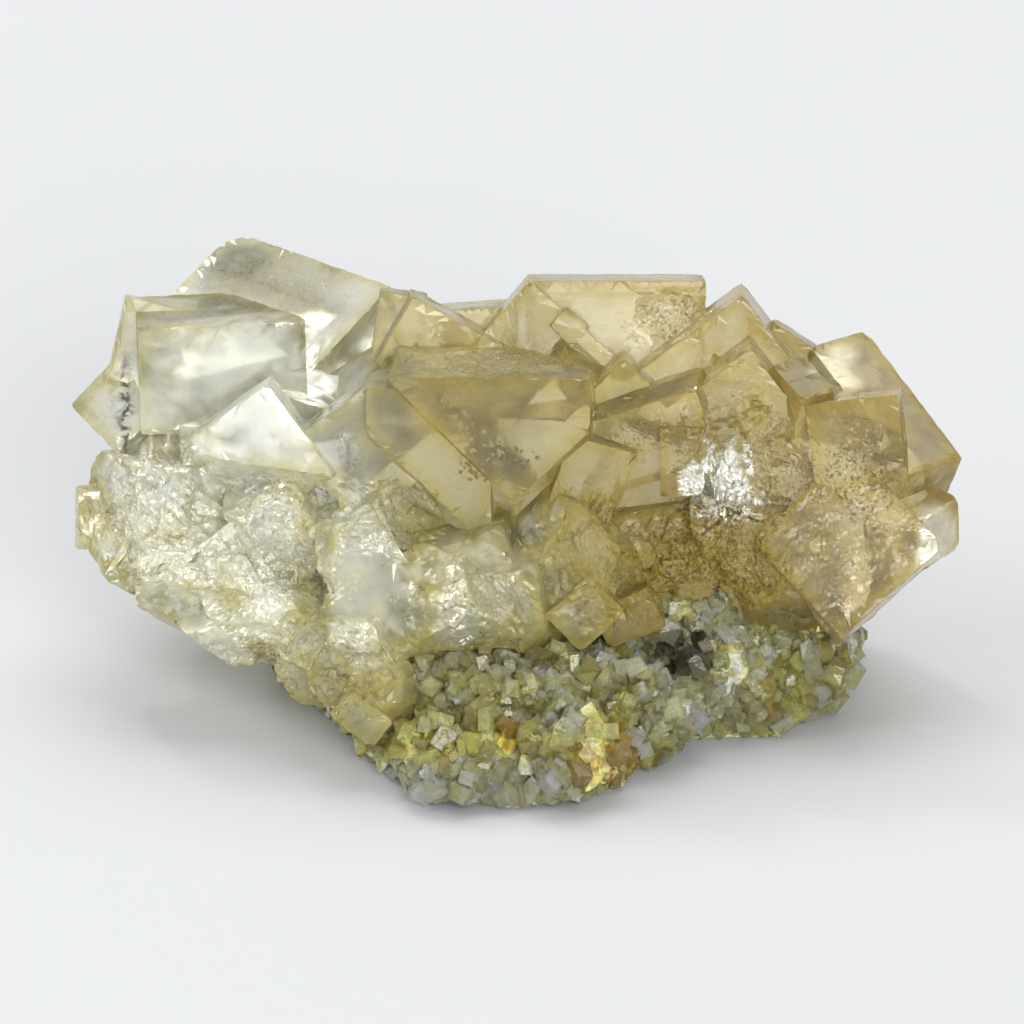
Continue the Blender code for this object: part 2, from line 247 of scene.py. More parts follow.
# ---- Fluorite crystals ----------------------------------------------------------------------
# Clear fluorite: cubes grown together in one piece, almost colourless on the left and honey on
# the right. Where they broke, the cleavage left stepped and frosted faces, stained by iron.
FACE_MESH = 2.5
EDGE_MESH = 0.9
BROKEN_MESH = 0.66
BARELY_BROKEN = 0.08
FLAT_ANGLE = math.radians(0.3)
WELD = 0.002
SHARP_ANGLE = math.radians(20)
EDGE_STEP = 0.3
RAGGED_SIZE = 2.2
RAGGED_SPREAD = 0.6
BROKEN_RAGGED = 0.35
WEAR_SIZE = 1.6
WEAR_LEAST = 0.3
WEAR_MOST = 1.7
EDGE_WEAR = 0.10
EDGE_WEAR_REACH = 0.45
CORNER_WEAR = 0.30
CORNER_WEAR_REACH = 0.9
CHIP_SIZES = ((3.6, 0.85), (1.5, 0.36))
GRIT = 0.16
RIM = 2.4
# Patches as seen from the display side: across, up, half width, half height, strength.
BROKEN_GROUND = (
    (-40.5, 19.8, 8.4, 9.5, 1.0), (-29.3, 15.3, 10.6, 8.4, 1.0), (-23.7, 4.1, 12.3, 6.7, 1.0),
    (-15.9, 19.8, 7.8, 4.5, 0.8), (-4.7, 8.6, 8.4, 6.7, 0.6), (8.5, 15.5, 6.5, 7.5, 0.9),
    (21.1, 14.2, 9.5, 6.7, 1.0), (25.0, 25.4, 6.7, 9.5, 0.9), (37.9, 17.6, 9.0, 9.0, 0.12),
    (18.3, 43.1, 4.3, 2.9, 0.5), (-5.8, 37.7, 9.5, 1.8, 0.4))
BROKEN_BACK = (
    (-26.0, 8.0, 12.0, 6.0, 1.0), (14.0, 12.0, 10.0, 7.0, 0.9), (34.0, 18.0, 9.0, 6.0, 0.8))
IRON_STAINS = (
    (22.4, 15.3, 7.5, 5.8, 0.95), (17.7, 15.3, 1.6, 3.6, 1.0), (27.4, 14.0, 1.8, 3.3, 1.0),
    (26.9, 32.1, 1.8, 2.6, 0.8), (-16.8, 0.8, 1.6, 1.5, 0.7), (-28.0, 5.0, 2.5, 1.2, 0.7),
    (-38.5, 17.6, 2.4, 0.9, 0.7), (-40.0, 27.1, 0.9, 0.9, 0.6), (-19.3, 0.8, 8.0, 4.0, 0.3),
    (14.3, 10.9, 9.0, 3.0, 0.5), (9.9, 17.6, 6.0, 9.0, 0.4), (-47.5, 21.5, 2.2, 4.5, 0.5),
    (28.0, 41.7, 1.8, 5.0, 0.4), (11.8, 46.3, 11.0, 1.8, 0.35), (-34.0, 43.2, 9.0, 1.6, 0.25),
    (-46.0, 31.0, 3.0, 5.0, 0.2), (-27.0, 46.5, 9.0, 4.0, 0.4), (-17.5, 43.0, 4.0, 3.0, 0.15))
BROWN_SPECKS = (
    (39.0, 24.9, 5.5, 4.8, 0.9), (30.6, 23.2, 6.0, 7.0, 0.7), (15.5, 29.1, 7.0, 1.8, 0.7),
    (35.0, 14.2, 4.5, 4.5, 0.6), (-0.8, 37.5, 7.0, 2.0, 0.5), (17.9, 43.1, 3.8, 2.6, 0.7),
    (22.4, 15.3, 8.0, 7.0, 0.7), (-27.0, 24.0, 7.0, 1.6, 0.5), (-3.0, 12.0, 5.0, 4.0, 0.4))
# White patches: frosted cleavage, white under any lamp, with a painted highlight on top where cleavage
# faces flash in the light; the strongest, on the right, is mostly painted highlight.
WHITE_CLEAVAGE_AND_GLINTS = (
    (-36.0, 19.8, 12.0, 9.5, 0.75), (-27.3, 12.0, 2.6, 2.8, 1.0), (-26.2, 20.4, 3.0, 3.4, 0.7),
    (-6.2, 9.2, 2.4, 3.2, 0.8), (-3.6, 13.0, 6.0, 5.0, 0.5), (-16.5, 13.1, 5.0, 8.5, 0.65),
    (-32.1, 6.6, 7.5, 4.2, 0.8), (23.8, 23.4, 3.8, 4.4, 1.5), (14.3, 41.7, 6.0, 3.5, 0.1),
    (37.0, 37.2, 2.6, 2.2, 0.6), (-8.5, 41.7, 4.0, 3.0, 0.2), (-30.0, 35.0, 8.0, 7.0, 1.1),
    (-29.0, 30.0, 5.5, 5.0, 0.35), (48.4, 18.1, 2.6, 4.4, 0.8), (-19.0, 36.0, 2.2, 2.4, 0.7),
    (-22.2, 43.0, 1.1, 0.9, 1.0), (-42.0, 30.0, 5.0, 7.0, 0.6))
# Upper faces on the left where a darker olive grey is painted in as a dark reflection.
DARK_REFLECTION_FACES = (
    (-27.5, 46.5, 8.5, 5.5, 0.9), (-21.5, 39.5, 4.5, 2.8, 0.7), (-42.5, 40.0, 3.5, 3.2, 0.6),
    (-13.0, 33.5, 2.0, 7.0, 0.4))
DARK_STREAKS = (
    (-43.9, 33.0, 0.6, 5.4, 1.0), (-18.4, 27.0, 0.45, 2.6, 0.7), (-20.7, 48.4, 1.2, 0.5, 0.6))


def settled_body(node):
    """The node's own surface, with its triangles joined back into flat faces."""
    body = bmesh.new()
    body.from_mesh(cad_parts[node].data)
    bmesh.ops.remove_doubles(body, verts=body.verts, dist=WELD * MM)
    bmesh.ops.dissolve_limit(body, angle_limit=FLAT_ANGLE, verts=body.verts, edges=body.edges)
    return body


def smooth_step(values, low, high):
    """0 at low, 1 at high, smooth between."""
    part = np.clip((values - low) / (high - low), 0, 1)
    return part * part * (3 - 2 * part)


def seen_from_display(points):
    """Columns across, up and towards the viewer, in millimetres, for points in metres."""
    return (points - np.array(SET_OUT_POINT)) @ np.array([ACROSS, UP, TOWARDS]).T / MM


CELL_PRIMES = (73856093, 19349663, 83492791)
SEED_PRIME = 668265263
STIR_PRIME = 1274126177


def scatter(cells, seed):
    """Three numbers from 0 to 1 for each cell of a grid, the same every run."""
    mixed = seed * SEED_PRIME
    for column, prime in enumerate(CELL_PRIMES):
        mixed = mixed ^ cells[:, column] * prime
    columns = []
    for _ in range(3):
        mixed = (mixed ^ (mixed >> 13)) * STIR_PRIME & 0x7FFFFFFF
        columns.append((mixed >> 8 & 0xFFFF) / 0xFFFF)
    return np.stack(columns, axis=1)


CELL_MARGIN = 0.1
CHIP_LEAN = 2.4
CHIP_LOWEST = 0.2
CHIP_STEP = 0.6


def chips(points, size, seed):
    """Heights from 0 to 1 of broken ground: flat facets about this size, each with its own lean."""
    home = np.floor(points / size).astype(np.int64)
    nearest = np.full(len(points), np.inf)
    centre = np.zeros_like(points)
    cell = np.zeros_like(home)
    for step in np.ndindex(3, 3, 3):
        cells = home + np.array(step) - 1
        middles = (cells + CELL_MARGIN + (1 - 2 * CELL_MARGIN) * scatter(cells, seed)) * size
        gap = ((points - middles) ** 2).sum(axis=1)
        closer = gap < nearest
        nearest[closer] = gap[closer]
        centre[closer] = middles[closer]
        cell[closer] = cells[closer]
    lean = (scatter(cell, seed + 1) - 0.5) * CHIP_LEAN / size
    level = scatter(cell, seed + 2)[:, 0]
    return np.clip(CHIP_LOWEST + CHIP_STEP * level + ((points - centre) * lean).sum(axis=1), 0, 1)


PATCH_FADE = (0.75, 1.3)


def patch_share(place, patches, ragged=0.0):
    """How far each place lies in the patches, from 0 to their strength."""
    share = np.zeros(len(place))
    for across, up, half_width, half_height, strength in patches:
        reach = np.hypot((place[:, 0] - across) / half_width, (place[:, 1] - up) / half_height) + ragged
        share = np.maximum(share, strength * (1 - smooth_step(reach, *PATCH_FADE)))
    return share


FRONT_BEGINS = (-7, -1)


def broken_share(points, ragged=0.0):
    """How broken the ground is at each point, on the display side and on the back."""
    place = seen_from_display(points)
    front = smooth_step(place[:, 2], *FRONT_BEGINS)
    behind = patch_share(place * (-1, 1, 1), BROKEN_BACK, ragged)
    return np.maximum(front * patch_share(place, BROKEN_GROUND, ragged), (1 - front) * behind)


def tree_of(points):
    """The points, ready for finding the nearest."""
    tree = KDTree(len(points))
    for number, point in enumerate(points):
        tree.insert(point, number)
    tree.balance()
    return tree


def gaps_to(tree, points):
    """Distance from each point to the tree's nearest, in millimetres."""
    return np.array([tree.find(point)[2] for point in points]) / MM


def edge_marks(body):
    """Points along the crystals' outer edges, and their corners."""
    along = []
    corners = []
    sharp = {edge for edge in body.edges if edge.is_convex and edge.calc_face_angle(0) > SHARP_ANGLE}
    for edge in sharp:
        start, end = (vert.co for vert in edge.verts)
        steps = max(1, round((end - start).length / (EDGE_STEP * MM)))
        along += [start.lerp(end, step / steps) for step in range(steps + 1)]
    for vert in body.verts:
        if sum(edge in sharp for edge in vert.link_edges) >= 3:
            corners.append(vert.co.copy())
    return np.array(along), tree_of(along), tree_of(corners)


FEW_SIDES = 0.01
NEAR_LONGEST = 0.6


def refine(points, triangles, wanted):
    """Split the triangles' sides until hardly any is longer than wanted(middles) says."""
    while True:
        sides = np.sort(triangles[:, [[0, 1], [1, 2], [2, 0]]], axis=2)
        edges, side_edge = np.unique(sides.reshape(-1, 2), axis=0, return_inverse=True)
        middles = points[edges].mean(axis=1)
        lengths = np.linalg.norm(points[edges[:, 0]] - points[edges[:, 1]], axis=1) / MM
        excess = np.where(lengths > wanted(middles), lengths, 0)
        if (excess > 0).mean() < FEW_SIDES:
            return points, triangles
        side_edge = side_edge.reshape(-1, 3)
        longest = np.zeros(len(edges))
        np.maximum.at(longest, side_edge, excess[side_edge].max(axis=1, keepdims=True))
        split = (excess > 0) & (excess > NEAR_LONGEST * longest)
        new_point = np.where(split, np.cumsum(split) - 1 + len(points), -1)[side_edge]
        points = np.concatenate([points, middles[split]])
        parts = []
        for turn in range(3):
            a, b, c = np.roll(triangles, -turn, axis=1).T
            ab, bc, ca = np.roll(new_point, -turn, axis=1).T
            one = (ab >= 0) & (bc < 0) & (ca < 0)
            two = (ab >= 0) & (bc >= 0) & (ca < 0)
            three = (ab >= 0) & (bc >= 0) & (ca >= 0)
            parts += [np.stack(corners, axis=1)[one] for corners in ((a, ab, c), (ab, b, c))]
            parts += [np.stack(corners, axis=1)[two]
                      for corners in ((a, ab, bc), (ab, b, bc), (a, bc, c))]
            parts += [np.stack((a, ab, ca), axis=1)[three]]
            if turn == 0:
                parts += [np.stack((ab, bc, ca), axis=1)[three], triangles[(new_point < 0).all(axis=1)]]
        triangles = np.concatenate(parts)


def point_normals(points, triangles):
    """The outward direction at each point, from the triangles around it."""
    first, second, third = (points[triangles[:, corner]] for corner in range(3))
    faces = np.cross(second - first, third - first)
    normals = np.zeros_like(points)
    for corner in range(3):
        np.add.at(normals, triangles[:, corner], faces)
    return normals / np.maximum(np.linalg.norm(normals, axis=1, keepdims=True), 1e-20)


def triangles_of(body):
    """Points and triangles of a body, which is used up."""
    bmesh.ops.triangulate(body, faces=body.faces)
    body.verts.index_update()
    points = np.array([vert.co for vert in body.verts])
    triangles = np.array([[vert.index for vert in face.verts] for face in body.faces])
    body.free()
    return points, triangles


def add_piece(name, points, triangles, material):
    """A new object from points in metres and faces by point number."""
    mesh = bpy.data.meshes.new(name)
    mesh.from_pydata(points.tolist(), [], triangles.tolist())
    mesh.materials.append(material)
    piece = bpy.data.objects.new(name, mesh)
    bpy.context.scene.collection.objects.link(piece)
    return piece


fluorite_body = settled_body("fluorite_crystals")
edge_points, edge_tree, corner_tree = edge_marks(fluorite_body)
CELLS_ACROSS = 2000


def cell_numbers(points, size):
    """One whole number for the cell of this size that each point is in."""
    cells = np.floor(points / (size * MM)).astype(np.int64) + CELLS_ACROSS // 2
    return (cells[..., 0] * CELLS_ACROSS + cells[..., 1]) * CELLS_ACROSS + cells[..., 2]


edge_cells = np.unique(cell_numbers(edge_points, EDGE_MESH))


def fluorite_mesh_size(points):
    """The longest side wanted at each point: fine on broken ground, streaks and edges."""
    size = np.full(len(points), FACE_MESH)
    size[broken_share(points) > BARELY_BROKEN] = BROKEN_MESH
    size[patch_share(seen_from_display(points), DARK_STREAKS) > 0] = BROKEN_MESH
    size[np.isin(cell_numbers(points, EDGE_MESH), edge_cells)] = EDGE_MESH
    return size


# Wear: sharp edges and corners are rubbed back a little, by an uneven amount, and broken ground
# is sunk into chips of two sizes and a fine grit.
surface, triangles = refine(*triangles_of(fluorite_body), fluorite_mesh_size)
normals = point_normals(surface, triangles)
broken = broken_share(surface, BROKEN_RAGGED * chips(surface / MM, RAGGED_SIZE, seed=5))
worn = WEAR_LEAST + (WEAR_MOST - WEAR_LEAST) * chips(surface / MM, WEAR_SIZE, seed=9)
depth = EDGE_WEAR * worn * np.clip(1 - gaps_to(edge_tree, surface) / EDGE_WEAR_REACH, 0, 1) ** 2
depth += CORNER_WEAR * worn * np.clip(1 - gaps_to(corner_tree, surface) / CORNER_WEAR_REACH, 0, 1) ** 2
for seed, (size, amount) in enumerate(CHIP_SIZES):
    depth += broken * amount * chips(surface / MM, size, seed=20 + 3 * seed)
depth += broken * GRIT * scatter(np.arange(3 * len(surface)).reshape(-1, 3), 50)[:, 0]
surface -= normals * depth[:, None] * MM

# Material: clear glass and frosted glass, mixed by how cloudy or broken the place is. Iron stains,
# dark specks, veins, white cleavage with painted highlights and a yellow rim along the edges colour
# both.
FLUORITE_IOR = 1.434
RIM_TINT = (0.80, 0.74, 0.42)
CLEAVAGE_WHITE_AND_GLINT = (0.97, 0.98, 0.90)
VEIN_OCHRE = (0.42, 0.33, 0.06)
STAIN_OCHRE = (0.54, 0.42, 0.05)
STAIN_BROWN = (0.22, 0.13, 0.02)
SPECK_BROWN = (0.16, 0.09, 0.04)
STREAK_GREY = (0.13, 0.125, 0.115)
PURE_WHITE = (1.0, 1.0, 1.0)
CLEAR_PALENESS = 0.32
WHITE_COVER = 0.6
WHITE_GRAIN = 0.35
VEIN_ON_BROKEN = 0.6
VEIN_ON_STAIN = 0.3
FACE_RELIEF = 0.008
BROKEN_RELIEF = 0.3
LEAST_FROST = 0.28
CLOUD_FROST = 0.2
BROKEN_FROST = 0.12
GRAIN_FROST = 0.2
WHITE_FROST = 0.4
VEIN_FROST = 0.5
STAIN_FROST = 0.6
RIM_FROST = 0.25
WHITE_SHEEN = 0.42
BODY_TINT = (0.72, 0.68, 0.30)
BODY_DENSITY = 10.0

crystal = Finish("fluorite")
place = crystal.place()
body_hue = crystal.mark("hue")
stain = crystal.node("ShaderNodeSeparateColor", None, {0: crystal.mark("marks")})
specks = stain.also(1)
white_and_glint = stain.also(2)
broken_here = crystal.node("ShaderNodeSeparateColor", None, {0: crystal.mark("ground")})
rim = broken_here.also(1)
streak_noise = crystal.noise(place, scale=1.1, detail=2.0)
streak = broken_here.also(2) * streak_noise.between(0.4, 0.52)
clouds = crystal.noise(place, scale=0.16, detail=3.0, roughness=0.6)
grain = crystal.noise(place, scale=1.5, detail=3.0, roughness=0.65)
speck_noise = crystal.noise(place, scale=2.6, detail=1.0)
dark_specks = specks * speck_noise.between(0.54, 0.6)
stained = stain * grain.between(0.3, 0.6)
vein_noise = crystal.noise(place, scale=0.3, detail=5.0, roughness=0.7, distortion=1.2)
vein_line = (vein_noise - 0.5).math("ABSOLUTE").between(0.03, 0.0)
vein_ground = broken_here * VEIN_ON_BROKEN + stain * VEIN_ON_STAIN
vein = vein_line * clouds.between(0.44, 0.6) * vein_ground

rim_hue = crystal.colour_mix(1.0, body_hue, RIM_TINT, "MULTIPLY")
hue = crystal.colour_mix(rim, body_hue, rim_hue)
# White of frosted cleavage, partly painted highlight.
hue = crystal.colour_mix(
    white_and_glint * (grain.between(0.3, 0.6) * WHITE_GRAIN + WHITE_COVER), hue, CLEAVAGE_WHITE_AND_GLINT)
hue = crystal.colour_mix(vein, hue, VEIN_OCHRE)
stain_hue = crystal.colour_mix(grain.between(0.4, 0.7), STAIN_OCHRE, STAIN_BROWN)
hue = crystal.colour_mix(stained, hue, stain_hue)
hue = crystal.colour_mix(dark_specks, hue, SPECK_BROWN)
hue = crystal.colour_mix(streak, hue, STREAK_GREY)
clear_hue = crystal.colour_mix(CLEAR_PALENESS, hue, PURE_WHITE)

relief = grain * (broken_here * BROKEN_RELIEF + FACE_RELIEF)
bump = crystal.node("ShaderNodeBump", None, {"Strength": 1.0, "Distance": MM, "Height": relief})
clear = crystal.node("ShaderNodeBsdfPrincipled", None, {
    "Base Color": clear_hue,
    "Roughness": clouds.between(0.45, 0.7) * 0.06 + broken_here * 0.06 + 0.03,
    "IOR": FLUORITE_IOR,
    "Transmission Weight": 0.96,
    "Normal": bump})
frost = crystal.node("ShaderNodeBsdfPrincipled", None, {
    "Base Color": hue,
    "Roughness": 0.28,
    "Metallic": white_and_glint * WHITE_SHEEN,
    "IOR": FLUORITE_IOR,
    "Transmission Weight": 0.5,
    "Normal": bump})
broken_frost = broken_here * (grain.between(0.35, 0.65) * GRAIN_FROST + BROKEN_FROST)
cloudiness = (clouds.between(0.36, 0.74) * CLOUD_FROST + broken_frost + white_and_glint * WHITE_FROST
              + vein * VEIN_FROST + stained * STAIN_FROST + rim * RIM_FROST + dark_specks + streak
              + LEAST_FROST)
both = crystal.node("ShaderNodeMixShader", None, {0: cloudiness.between(0.0, 1.0), 1: clear, 2: frost})
absorb = crystal.node("ShaderNodeVolumeAbsorption", None, {
    "Color": BODY_TINT, "Density": BODY_DENSITY})

COOL_WHITE = np.array((0.94, 0.95, 0.90))
HONEY = np.array((0.70, 0.60, 0.26))
CHAMPAGNE = np.array((0.70, 0.575, 0.25))
YELLOW_GREEN = np.array((0.93, 0.91, 0.56))
DARK_REFLECTION_OLIVE = np.array((0.40, 0.385, 0.23))


def blend(first, second, share):
    """The first colours, moved towards the second by a share for each point."""
    return first + (second - first) * share[:, None]


def set_colours(piece, name, colours):
    """A colour for every point of the piece, read by its material."""
    values = np.ones((len(colours), 4))
    values[:, :colours.shape[1]] = colours
    piece.data.attributes.new(name, "FLOAT_COLOR", "POINT").data.foreach_set("color", values.ravel())


# Body colour: cool white on the left, honey in the middle, champagne on the right, yellow-green
# low in front, a painted dark olive reflection on a few upper faces on the left, and a little lighter or
# darker from one grown block to the next.
HONEY_BEGINS = (-20, -8)
CHAMPAGNE_BEGINS = (6, 24)
LOW_FRONT_ENDS = (12, 30)
LOW_FRONT_SIDE_ENDS = (0, 16)
LOW_FRONT_SHARE = 0.7
BLOCK_SIZE = 13.0
BLOCK_DARKEST = 0.84
BLOCK_SPREAD = 0.3
RIM_SHARPEST = 0.4
AWAY_BEGINS = (-0.4, 0.0)
MARKS_AWAY = 0.3

seen = seen_from_display(surface)
ragged = RAGGED_SPREAD * (chips(surface / MM, RAGGED_SIZE, seed=31) - 0.5)
hue_at = blend(np.tile(COOL_WHITE, (len(seen), 1)), HONEY, smooth_step(seen[:, 0], *HONEY_BEGINS))
hue_at = blend(hue_at, CHAMPAGNE, smooth_step(seen[:, 0], *CHAMPAGNE_BEGINS))
low = 1 - smooth_step(seen[:, 1], *LOW_FRONT_ENDS)
left = 1 - smooth_step(seen[:, 0], *LOW_FRONT_SIDE_ENDS)
hue_at = blend(hue_at, YELLOW_GREEN, LOW_FRONT_SHARE * (low * left))
# Painted dark reflection: a darker olive grey on a few upper faces on the left.
hue_at = blend(hue_at, DARK_REFLECTION_OLIVE, patch_share(seen, DARK_REFLECTION_FACES, ragged * 0.5))
hue_at *= (BLOCK_DARKEST + BLOCK_SPREAD * chips(surface / MM, BLOCK_SIZE, seed=40))[:, None]
fluorite = add_piece("fluorite_growth", surface, triangles, crystal.surface(both, absorb))
set_colours(fluorite, "hue", hue_at)

# The marks fade on faces that look away from the display side.
facing = smooth_step(normals @ np.array(TOWARDS), *AWAY_BEGINS)
mark_patches = (IRON_STAINS, BROWN_SPECKS, WHITE_CLEAVAGE_AND_GLINTS)
marks_at = np.stack([patch_share(seen, patches, ragged) for patches in mark_patches], axis=1)
kept_share = MARKS_AWAY + (1 - MARKS_AWAY) * facing
set_colours(fluorite, "marks", marks_at * kept_share[:, None])
rim_at = 1 - smooth_step(gaps_to(edge_tree, surface), RIM_SHARPEST, RIM)
streak_at = patch_share(seen, DARK_STREAKS)
set_colours(fluorite, "ground", np.stack([broken, rim_at, streak_at], axis=1))
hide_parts("fluorite_crystals")
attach(fluorite, "root")

# ---- Veils inside the crystals --------------------------------------------------------------
# Healed cracks: sheets of tiny flat flakes within the clear crystal, most of them silvery, and
# one smoky cloud in the middle cube. Each sheet below is given by across, up, depth below the
# surface, radius, lean to the side, lean upwards and number of flakes.
SILVER_VEILS = (
    (-19.0, 36.0, 2.5, 3.4, 0.5, 0.3, 70), (-30.5, 35.5, 4.5, 5.5, -0.3, 0.5, 120),
    (-29.0, 29.5, 3.0, 4.0, 0.2, -0.4, 80), (-25.0, 41.5, 3.0, 4.5, 0.6, 0.2, 90),
    (-9.0, 41.0, 3.0, 4.0, -0.6, 0.2, 80), (-6.0, 31.0, 5.0, 4.5, 0.9, 0.1, 70),
    (14.0, 41.0, 4.0, 5.0, 0.2, 0.6, 80), (22.5, 24.0, 1.6, 4.5, 0.2, 0.3, 120),
    (36.5, 37.0, 3.0, 3.2, -0.3, 0.4, 60), (38.0, 28.0, 5.0, 4.5, 0.5, 0.2, 60),
    (-4.0, 12.0, 3.0, 5.0, 0.3, -0.3, 110), (-18.0, 9.0, 3.0, 5.0, -0.4, 0.2, 110),
    (-38.0, 20.0, 3.0, 5.0, 0.4, 0.2, 110), (-42.0, 34.0, 2.5, 3.0, 0.8, 0.1, 50))
SMOKE = (
    (-2.6, 26.0, 3.0, 3.6, 0.1, 0.5, 200), (-3.4, 27.5, 5.0, 3.0, 0.3, -0.4, 150),
    (0.0, 26.5, 4.0, 3.5, -0.6, 0.3, 90))
SHEET_SPREAD = 0.5
SHEET_THICKNESS = 0.3
SKIN = 0.8
FLAKE_SIZES = (0.12, 0.55)
SMALL_FLAKES = 1.3
FLAKE_TILT = 0.12
FLAKE_CORNERS = 6
FLAKE_THICKNESS = 0.07
FLAKE_SIDES = np.array(
    [(corner, (corner + 1) % FLAKE_CORNERS, FLAKE_CORNERS) for corner in range(FLAKE_CORNERS)]
    + [((corner + 1) % FLAKE_CORNERS, corner, FLAKE_CORNERS + 1) for corner in range(FLAKE_CORNERS)])

SILVER = (0.93, 0.94, 0.92)
SMOKE_BROWN = (0.16, 0.13, 0.12)
FILM_THICKNESS = 520.0
FAR_IN_FRONT = 90

dice = random.Random(77)
fluorite_tree = BVHTree.FromPolygons(surface.tolist(), triangles.tolist())


def veil(across, up, depth, radius, side_lean, up_lean, flakes):
    """Corner points of the flakes of one sheet that lies inside the crystal."""
    eye = display_point(across, up, FAR_IN_FRONT)
    hit = fluorite_tree.ray_cast(eye, -TOWARDS)[0]
    middle = hit - TOWARDS * depth * MM
    facing = (TOWARDS + ACROSS * side_lean + UP * up_lean).normalized()
    first = facing.orthogonal().normalized()
    second = facing.cross(first)
    sheet = []
    for _ in range(flakes):
        angle = dice.uniform(0, math.tau)
        reach = radius * min(1.0, abs(dice.gauss(0, SHEET_SPREAD)))
        place = middle + (first * math.cos(angle) + second * math.sin(angle)) * reach * MM
        place += facing * dice.gauss(0, SHEET_THICKNESS) * MM
        near, outward, _, gap = fluorite_tree.find_nearest(place)
        if gap < SKIN * MM or (place - near).dot(outward) > 0:
            continue
        size = dice.uniform(*FLAKE_SIZES) ** SMALL_FLAKES * MM
        outlook = facing + Vector([dice.gauss(0, FLAKE_TILT) for _ in range(3)])
        side = first.cross(outlook).normalized()
        other = outlook.cross(side).normalized()
        for corner in range(FLAKE_CORNERS):
            turn = math.tau * corner / FLAKE_CORNERS
            out = size * dice.uniform(0.5, 1.0)
            sheet.append(place + (side * math.cos(turn) + other * math.sin(turn)) * out)
        thickness = outlook.normalized() * size * FLAKE_THICKNESS
        sheet += [place + thickness, place - thickness]
    return sheet


for name, sheets, flake_hue, roughness, shine in (
        ("silver_veils", SILVER_VEILS, SILVER, 0.2, 0.35),
        ("smoke_veil", SMOKE, SMOKE_BROWN, 0.6, 0.0)):
    corners = [corner for sheet in sheets for corner in veil(*sheet)]
    flakes = np.arange(0, len(corners), FLAKE_CORNERS + 2)[:, None, None] + FLAKE_SIDES
    flake_finish = Finish(name)
    flake_shader = flake_finish.node("ShaderNodeBsdfPrincipled", None, {
        "Base Color": flake_hue,
        "Roughness": roughness,
        "Metallic": shine,
        "Thin Film Thickness": FILM_THICKNESS * shine})
    piece = add_piece(name, np.array(corners), flakes.reshape(-1, 3), flake_finish.surface(flake_shader))
    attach(piece, "root")

# ---- Drusy matrix ---------------------------------------------------------------------------
# A crust of small glassy crystals, grey-green with white, yellow and amber ones, on broken rock.
# They grew packed side by side and lean every way.
CRYSTAL_COUNT = 17000
CRYSTAL_HALF = (0.24, 1.05)
SMALL_CRYSTALS = 3.0
CRYSTAL_STRETCH = (0.6, 1.35)
CORNER_SHIFT = 0.13
FOOT_GAP = 0.05
DRUSE_OLIVE = (0.76, 0.70, 0.27)
DRUSE_PALE = (0.95, 0.93, 0.60)
DRUSE_YELLOW = (0.86, 0.72, 0.16)
DRUSE_AMBER = (0.70, 0.42, 0.02)
DRUSE_SHADE = (0.10, 0.09, 0.05)
DRUSE_LIGHTEST = 0.96
DRUSE_PATCH = 3.5
DRUSE_RAGGED_SIZE = 1.8
DRUSE_RAGGED = 0.4
YELLOW_GROUND = ((-6.5, -5.0, 9.0, 2.4, 0.8), (10.4, -2.8, 2.6, 2.2, 0.8), (30.0, 1.0, 4.0, 3.0, 0.4))
AMBER_GROUND = ((-0.4, -4.5, 1.8, 1.8, 1.0), (10.4, -7.3, 5.0, 3.0, 0.7), (29.0, -0.5, 1.6, 1.4, 0.6))
# Painted shade: near black in two hollows of the druse and in a line under the fluorite's foot.
SHADE_GROUND = ((18.8, 5.0, 3.2, 2.6, 1.0), (8.2, 6.3, 1.8, 1.2, 1.0), (-1.5, 3.5, 7.0, 1.4, 0.5))
PALE_GROUND = ((-10.9, -8.7, 3.0, 2.6, 1.0), (-4.0, -9.5, 11.0, 3.0, 0.7), (24.0, -0.8, 6.5, 3.5, 0.6))
CROWDED_GROUND = ((0.8, -9.3, 7.0, 5.0, 1.2),)

druse = Finish("druse_crystals")
druse_grain = druse.noise(druse.place(), scale=1.6, detail=4.0, roughness=0.65)
druse_bump = druse.node("ShaderNodeBump", None, {
    "Strength": 0.4, "Distance": 0.2 * MM, "Height": druse_grain})
druse_shader = druse.node("ShaderNodeBsdfPrincipled", None, {
    "Base Color": druse.mark("hue"),
    "Roughness": druse_grain.between(0.45, 0.7) * 0.16 + 0.05,
    "IOR": FLUORITE_IOR,
    "Transmission Weight": 0.79,
    "Coat Weight": 0.2,
    "Coat Roughness": 0.04,
    "Normal": druse_bump})


def druse_hues(points, chance):
    """Colours of the druse at these points, painted shade included; chance holds three random numbers
    for each.
    """
    place = seen_from_display(points)
    paleness = 0.6 * chips(points / MM, DRUSE_PATCH, seed=80) + 0.5 * chance[:, 0]
    hues = np.tile(DRUSE_OLIVE, (len(points), 1))
    hues = blend(hues, np.array(DRUSE_PALE), smooth_step(paleness, 0.45, 0.85))
    uneven = DRUSE_RAGGED * (chips(points / MM, DRUSE_RAGGED_SIZE, seed=90) - 0.5)
    # The last pair paints shade into the hollows and under the fluorite.
    for hue, ground in ((DRUSE_PALE, PALE_GROUND), (DRUSE_YELLOW, YELLOW_GROUND),
                        (DRUSE_AMBER, AMBER_GROUND), (DRUSE_SHADE, SHADE_GROUND)):
        share = patch_share(place, ground, uneven) * (0.7 + 0.3 * chance[:, 1])
        hues = blend(hues, np.array(hue), share)
    lightness = 0.75 + 1.1 * chance[:, 2:] ** 1.3
    return np.minimum(hues * lightness, DRUSE_LIGHTEST)


